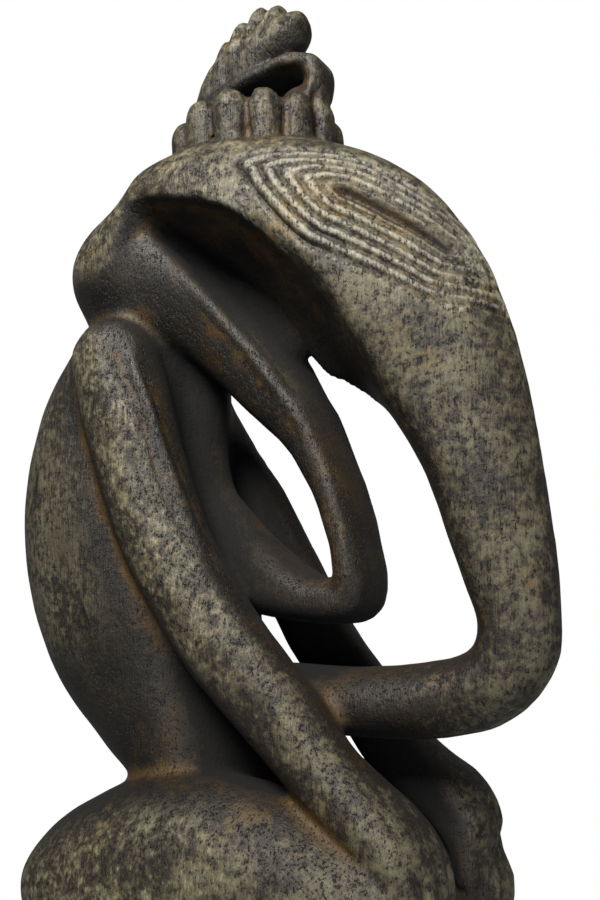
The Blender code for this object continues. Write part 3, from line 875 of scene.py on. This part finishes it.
    def cut_strokes(self, surface: Surface) -> None:
        """Cuts the valleys, creases, flutes and finger lines, and raises the rims and the crest."""
        depth = np.zeros(surface.count)
        for stroke in STROKES:
            for side in stroke.sides:
                line = smooth_line(stroke.places, side.value)
                depth += stroke.depth * surface.nearness(line, stroke.half)
        surface.push(depth)

    def weather(self, surface: Surface) -> None:
        """Gives the surface the slight unevenness of adze work and age."""
        swell = np.array([noise.noise(Vector(point) / self.adze_spread) for point in surface.points])
        surface.push(swell * self.adze_depth_mm * MM)

    def stand_flat(self, surface: Surface) -> None:
        """Brings the underside back onto the ground."""
        under = surface.points[:, 2] < self.sole * self.voxel
        surface.points[under, 2] = 0.0
        surface.write()

    def shelter(self, piece: bpy.types.Object) -> tuple[np.ndarray, np.ndarray]:
        """Measures on a coarse copy how much the rest of the figure shelters each place.

        Args:
            piece: The finely cut figure.

        Returns:
            The places, and the share of the outward directions that the figure itself blocks at each.
        """
        coarse = piece.copy()
        coarse.data = piece.data.copy()
        bpy.context.scene.collection.objects.link(coarse)
        apply_modifier(coarse, "REMESH", mode="VOXEL", voxel_size=self.coarse_voxel, adaptivity=0.0)
        surface = Surface(coarse)
        tree = BVHTree.FromObject(coarse, bpy.context.evaluated_depsgraph_get())
        # The golden angle spreads the rays evenly over the half sphere around +Z.
        golden = math.pi * (3 - math.sqrt(5))
        rays = []
        for k in range(self.shelter_rays):
            rise = 1 - (k + 0.5) / self.shelter_rays
            flat = math.sqrt(1 - rise * rise)
            rays.append(Vector((flat * math.cos(golden * k), flat * math.sin(golden * k), rise)))
        blocked = np.zeros(surface.count)
        for i, (point, normal) in enumerate(zip(surface.points, surface.normals())):
            normal = Vector(normal)
            start = Vector(point) + normal * self.coarse_voxel / 2
            turn = normal.to_track_quat("Z", "Y").to_matrix()
            hits = (tree.ray_cast(start, turn @ ray, self.shelter_reach)[0] for ray in rays)
            blocked[i] = sum(hit is not None for hit in hits)
        places = surface.points
        blocked = surface.blur(blocked[:, None] / self.shelter_rays, 2)[:, 0]
        bpy.data.objects.remove(coarse)
        return places, blocked

    def hollows(self, piece: bpy.types.Object, surface: Surface) -> np.ndarray:
        """Brings the shelter that was measured on the coarse copy to the fine mesh.

        Args:
            piece: The finely cut figure.
            surface: Its surface.

        Returns:
            The share of the outward directions that the figure itself blocks at each point.
        """
        places, blocked = self.shelter(piece)
        finder = kdtree.KDTree(len(places))
        for i, place in enumerate(places):
            finder.insert(place, i)
        finder.balance()
        hollow = np.zeros(surface.count)
        for i, point in enumerate(surface.points):
            near = finder.find_n(point, self.wear_and_painted_light.near_places)
            weights = [1 / (gap + MM) for _, _, gap in near]
            hollow[i] = sum(w * blocked[j] for w, (_, j, _) in zip(weights, near)) / sum(weights)
        return surface.blur(hollow[:, None], self.wear_and_painted_light.hollow_turns)[:, 0]

    def mark_patina_and_painted_light(self, piece: bpy.types.Object, cuts: np.ndarray) -> None:
        """Stores what the patina, the painted shade and the painted sheen follow: shelter, undersides,
        ridges and creases.

        Args:
            piece: The finely cut figure.
            cuts: The share of a groove's depth that each point of the eyes was cut.
        """
        wear_and_painted_light = self.wear_and_painted_light
        surface = Surface(piece)
        hollow = self.hollows(piece, surface)
        normals = surface.normals()
        under = surface.blur(0.5 - 0.5 * normals[:, 2:], wear_and_painted_light.under_turns)[:, 0]
        swell = surface.blur(surface.points, wear_and_painted_light.broad_turns)
        proud = np.einsum("ij,ij->i", surface.points - swell, normals)
        proud = surface.blur(proud[:, None], 1)[:, 0] / MM
        close = surface.blur(surface.points, wear_and_painted_light.close_turns)
        sharp = np.einsum("ij,ij->i", surface.points - close, normals) / MM
        # Ridges and edges get the worn grey, which is real wear with a painted sheen; creases get dirt and
        # painted shade.
        worn_sheen_ridge = (proud - wear_and_painted_light.ridge[0]) / wear_and_painted_light.ridge[1]
        worn_sheen_edge = (sharp - wear_and_painted_light.edge[0]) / wear_and_painted_light.edge[1]
        ridge = np.clip(np.maximum(worn_sheen_ridge, worn_sheen_edge), 0, 1)
        dirt_and_shade_crease = (-proud - wear_and_painted_light.crease[0]) / wear_and_painted_light.crease[1]
        crease = np.clip(np.maximum(dirt_and_shade_crease, -sharp / wear_and_painted_light.line), 0, 1)
        eye = self.eye_rings(surface) < self.eye_grooves[-1] + self.eye_rim
        # On the eyes the cut depth fills the grooves with earth and painted shade, and the ridges get the
        # worn grey with its painted sheen.
        crease = np.where(eye, cuts, crease)
        ridge = np.where(eye, np.clip(self.eye_wear_and_sheen - self.eye_wear_and_sheen_fall * cuts, 0, 1), ridge)
        # The material paints shade from hollow and under, and from crease besides the dirt; ridge gives
        # wear with a painted sheen.
        marks = {"hollow": hollow, "under": under, "ridge": ridge, "crease": crease}
        for name, values in marks.items():
            attribute = piece.data.attributes.new(name, "FLOAT", "POINT")
            attribute.data.foreach_set("value", values.astype(np.float32))


@dataclass(frozen=True)
class Lamp:
    """One soft square light.

    Attributes:
        name: The light's name.
        place: Where it stands, in metres.
        size: Its edge, in metres.
        watts: Its power.
        tint: Its sRGB hex colour.
    """

    name: str
    place: tuple[float, float, float]
    size: float
    watts: float
    tint: str


@dataclass
class Studio:
    """Pale floor, soft lights and the camera at the photograph's angle.

    Attributes:
        lamps: A key light high on the figure's right, and a weak one low in front.
        lamp_aim: The place at the figure's chest that they look at.
        room_light: How bright the room is, as a share of the backdrop that the camera sees.
        floor_reach: The floor's radius.
        floor_full: The share of the radius within which the floor is seen in full.
        floor_gone: The share of it past which nothing of the floor is seen.
        floor_tint: The floor's sRGB hex colour.
        floor_rough: Its roughness, for matt paper.
        camera_turn_deg: How far the camera looks round from +X towards +Y.
        camera_reach: How far it stands from the place it looks at.
        camera_height: How high it stands.
        aim_along: The Y of the place it looks at.
        lens_mm: Its focal length.
        frame_mm: Its frame's height.
        rise: The share of the frame's height that the view is shifted up.
    """

    lamps: tuple[Lamp, ...] = (
        Lamp("key", (-1.10, -0.15, 1.70), 0.7, 74.0, "fffaf2"),
        Lamp("front", (-0.7, -1.4, 0.30), 0.6, 10.0, "f8f8ff"),
    )
    lamp_aim: tuple[float, float, float] = (0.0, 0.0, 0.55)
    room_light: float = 0.17
    floor_reach: float = 0.64
    floor_full: float = 0.35
    floor_gone: float = 0.97
    floor_tint: str = "f4f4f2"
    floor_rough: float = 0.9
    camera_turn_deg: float = 32.0
    camera_reach: float = 0.760
    camera_height: float = 0.505
    aim_along: float = -0.030
    lens_mm: float = 34.0
    frame_mm: float = 36.0
    rise: float = 150 / 900

    def build(self) -> None:
        """Adds the floor, the sky, the lights and the camera."""
        self.floor()
        self.sky()
        for lamp in self.lamps:
            self.light(lamp)
        self.camera()

    def floor(self) -> None:
        """Adds the pale matt floor, which fades out into the white backdrop."""
        bpy.ops.object.select_all(action="DESELECT")
        bpy.ops.mesh.primitive_circle_add(
            vertices=96, radius=self.floor_reach, fill_type="NGON", location=(0, 0, 0)
        )
        floor = bpy.context.object
        floor.name = "floor"
        material = bpy.data.materials.new("pale_studio_floor")
        material.use_nodes = True
        tree = material.node_tree
        shader = tree.nodes["Principled BSDF"]
        shader.inputs["Base Color"].default_value = linear(self.floor_tint)
        shader.inputs["Roughness"].default_value = self.floor_rough
        place = add_node(tree, "ShaderNodeTexCoord").outputs["Object"]
        reach = add_node(tree, "ShaderNodeVectorMath", {0: place}, operation="LENGTH").outputs["Value"]
        ends = {
            "From Min": self.floor_reach * self.floor_gone,
            "From Max": self.floor_reach * self.floor_full,
        }
        fade = add_node(tree, "ShaderNodeMapRange", {"Value": reach}, ends, interpolation_type="SMOOTHSTEP")
        tree.links.new(fade.outputs["Result"], shader.inputs["Alpha"])
        floor.data.materials.append(material)

    def sky(self) -> None:
        """Sets the white backdrop that the camera sees, and the dimmer even light of the room."""
        world = bpy.data.worlds.new("white_studio")
        world.use_nodes = True
        tree = world.node_tree
        back = tree.nodes["Background"]
        back.inputs["Color"].default_value = linear("ffffff")
        seen = add_node(tree, "ShaderNodeLightPath").outputs["Is Camera Ray"]
        ends = {"To Min": self.room_light, "To Max": 1.0}
        strength = add_node(tree, "ShaderNodeMapRange", {"Value": seen}, ends)
        tree.links.new(strength.outputs["Result"], back.inputs["Strength"])
        bpy.context.scene.world = world

    def light(self, lamp: Lamp) -> None:
        """Adds one soft light that looks at the figure's chest.

        Args:
            lamp: The light's place, size, power and tint.
        """
        data = bpy.data.lights.new(lamp.name, "AREA")
        data.energy = lamp.watts
        data.size = lamp.size
        data.color = linear(lamp.tint)[:3]
        light = bpy.data.objects.new(lamp.name, data)
        light.location = lamp.place
        way = Vector(self.lamp_aim) - Vector(lamp.place)
        light.rotation_euler = way.to_track_quat("-Z", "Y").to_euler()
        bpy.context.scene.collection.objects.link(light)

    def camera(self) -> None:
        """Adds the camera, level and close, with the frame shifted up as the photograph's is."""
        turn = math.radians(self.camera_turn_deg)
        look = Vector((math.cos(turn), math.sin(turn), 0.0))
        data = bpy.data.cameras.new("camera")
        data.lens = self.lens_mm
        data.sensor_width = self.frame_mm
        data.shift_y = self.rise
        data.clip_start = 0.02
        camera = bpy.data.objects.new("camera", data)
        camera.location = Vector((0, self.aim_along, self.camera_height)) - look * self.camera_reach
        camera.rotation_euler = look.to_track_quat("-Z", "Y").to_euler()
        bpy.context.scene.collection.objects.link(camera)
        bpy.context.scene.camera = camera
        bpy.context.scene.view_settings.view_transform = "Standard"


def main() -> None:
    """Builds the statue and the studio."""
    logging.basicConfig(level=logging.INFO, format="%(name)s: %(message)s")
    figure = CarvedFigure()
    piece = figure.build()
    piece.data.materials.append(PatinatedHardwood().material())
    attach(piece, "root")
    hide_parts(figure.node)
    LOG.info("%s: %d triangles", piece.name, triangles(piece))
    Studio().build()


if __name__ == "__main__":
    main()
